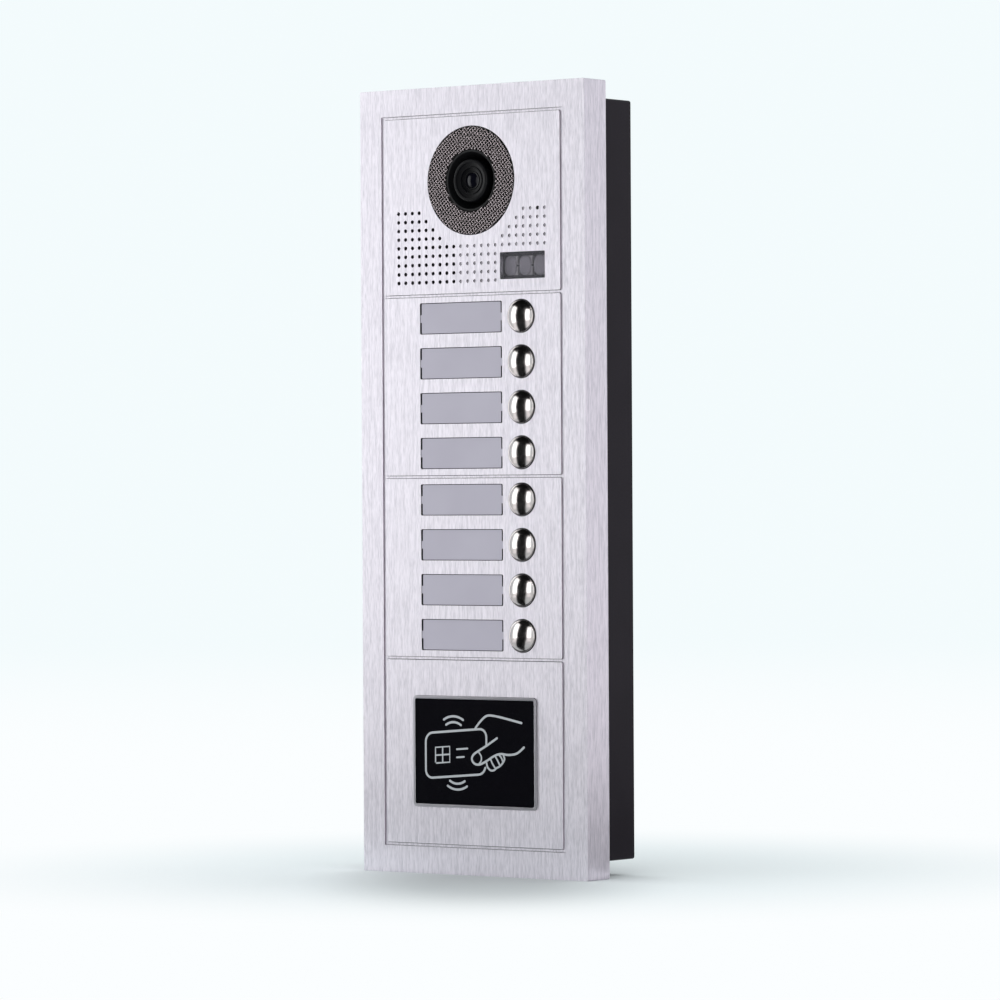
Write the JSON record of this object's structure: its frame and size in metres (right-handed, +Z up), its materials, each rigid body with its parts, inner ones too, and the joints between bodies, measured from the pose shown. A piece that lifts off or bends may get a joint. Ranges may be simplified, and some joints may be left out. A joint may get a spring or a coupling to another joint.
{
  "type": "door intercom panel",
  "caption": "Upright wall-mounted door intercom panel: brushed aluminium face, camera, speaker grille, name windows with domed call buttons, and a card reader window.",
  "frame": {"origin": "centre of the wall box's rear face, on the wall", "axes": "+Z up, +Y into the wall, the face looks along -Y, +X to the viewer's right"},
  "size_m": [0.125, 0.0475, 0.35],
  "materials": {
    "face_aluminium": "brushed up and down, anodised",
    "plate_aluminium": "brushed up and down, anodised",
    "carrier_plastic": "moulded",
    "mesh_metal": "fine woven mesh",
    "hood_plastic": "satin",
    "barrel_black": "semi-gloss",
    "lens_coated_glass": "polished, dark coating",
    "circuit_board": "solder resist",
    "speaker_metal": "pressed",
    "speaker_paper": "paper cone",
    "capsule_metal": "drawn can",
    "lamp_pane": "smoked, clear",
    "led_resin": "moulded resin",
    "name_window_plastic": "frosted",
    "card_paper": "paper",
    "button_steel": "polished",
    "spring_steel": "drawn wire",
    "switch_plastic": "moulded",
    "trim_metal": "satin",
    "reader_acrylic": "polished, printed",
    "coil_copper": "enamelled wire",
    "terminal_plastic": "moulded",
    "ribbon_pvc": "extruded",
    "box_black": "satin black powder coat",
    "seal_rubber": "moulded",
    "screw_steel": "plain"
  },
  "bodies": {
    "panel": {"face_frame": "face_aluminium", "camera_plate": "plate_aluminium", "upper_button_plate": "plate_aluminium", "lower_button_plate": "plate_aluminium", "reader_plate": "plate_aluminium", "camera_carrier": "carrier_plastic", "upper_button_carrier": "carrier_plastic", "lower_button_carrier": "carrier_plastic", "reader_carrier": "carrier_plastic", "camera_ring": "mesh_metal", "camera_hood": "hood_plastic", "lens_barrel": "barrel_black", "lens_glass": "lens_coated_glass", "camera_board": "circuit_board", "lamp_board": "circuit_board", "upper_button_board": "circuit_board", "lower_button_board": "circuit_board", "reader_board": "circuit_board", "main_board": "circuit_board", "speaker_basket": "speaker_metal", "speaker_cone": "speaker_paper", "microphone": "capsule_metal", "lamp_window": "lamp_pane", "lamp_leds": "led_resin", "label_window_1": "name_window_plastic", "label_window_2": "name_window_plastic", "label_window_3": "name_window_plastic", "label_window_4": "name_window_plastic", "label_window_5": "name_window_plastic", "label_window_6": "name_window_plastic", "label_window_7": "name_window_plastic", "label_window_8": "name_window_plastic", "name_cards": "card_paper", "button_spring_1": "spring_steel", "button_spring_2": "spring_steel", "button_spring_3": "spring_steel", "button_spring_4": "spring_steel", "button_spring_5": "spring_steel", "button_spring_6": "spring_steel", "button_spring_7": "spring_steel", "button_spring_8": "spring_steel", "tact_switches": "switch_plastic", "reader_trim": "trim_metal", "reader_window": "reader_acrylic", "antenna_coil": "coil_copper", "terminal_block": "terminal_plastic", "ribbon_cables": "ribbon_pvc", "back_box": "box_black", "face_gasket": "seal_rubber", "cable_grommet": "seal_rubber", "security_screws": "screw_steel", "module_screws": "screw_steel"},
    "call_1": {"button_1": "button_steel"},
    "call_2": {"button_2": "button_steel"},
    "call_3": {"button_3": "button_steel"},
    "call_4": {"button_4": "button_steel"},
    "call_5": {"button_5": "button_steel"},
    "call_6": {"button_6": "button_steel"},
    "call_7": {"button_7": "button_steel"},
    "call_8": {"button_8": "button_steel"}
  },
  "joints": [
    {"name": "button_1_press", "type": "slide", "parent": "panel", "child": "call_1", "axis": [0, 1, 0], "range_m": [0, 0.0012], "stiffness_N_per_m": 400, "springref_m": -0.004, "deforming": ["button_spring_1"]},
    {"name": "button_2_press", "type": "slide", "parent": "panel", "child": "call_2", "axis": [0, 1, 0], "range_m": [0, 0.0012], "stiffness_N_per_m": 400, "springref_m": -0.004, "deforming": ["button_spring_2"]},
    {"name": "button_3_press", "type": "slide", "parent": "panel", "child": "call_3", "axis": [0, 1, 0], "range_m": [0, 0.0012], "stiffness_N_per_m": 400, "springref_m": -0.004, "deforming": ["button_spring_3"]},
    {"name": "button_4_press", "type": "slide", "parent": "panel", "child": "call_4", "axis": [0, 1, 0], "range_m": [0, 0.0012], "stiffness_N_per_m": 400, "springref_m": -0.004, "deforming": ["button_spring_4"]},
    {"name": "button_5_press", "type": "slide", "parent": "panel", "child": "call_5", "axis": [0, 1, 0], "range_m": [0, 0.0012], "stiffness_N_per_m": 400, "springref_m": -0.004, "deforming": ["button_spring_5"]},
    {"name": "button_6_press", "type": "slide", "parent": "panel", "child": "call_6", "axis": [0, 1, 0], "range_m": [0, 0.0012], "stiffness_N_per_m": 400, "springref_m": -0.004, "deforming": ["button_spring_6"]},
    {"name": "button_7_press", "type": "slide", "parent": "panel", "child": "call_7", "axis": [0, 1, 0], "range_m": [0, 0.0012], "stiffness_N_per_m": 400, "springref_m": -0.004, "deforming": ["button_spring_7"]},
    {"name": "button_8_press", "type": "slide", "parent": "panel", "child": "call_8", "axis": [0, 1, 0], "range_m": [0, 0.0012], "stiffness_N_per_m": 400, "springref_m": -0.004, "deforming": ["button_spring_8"]}
  ]
}
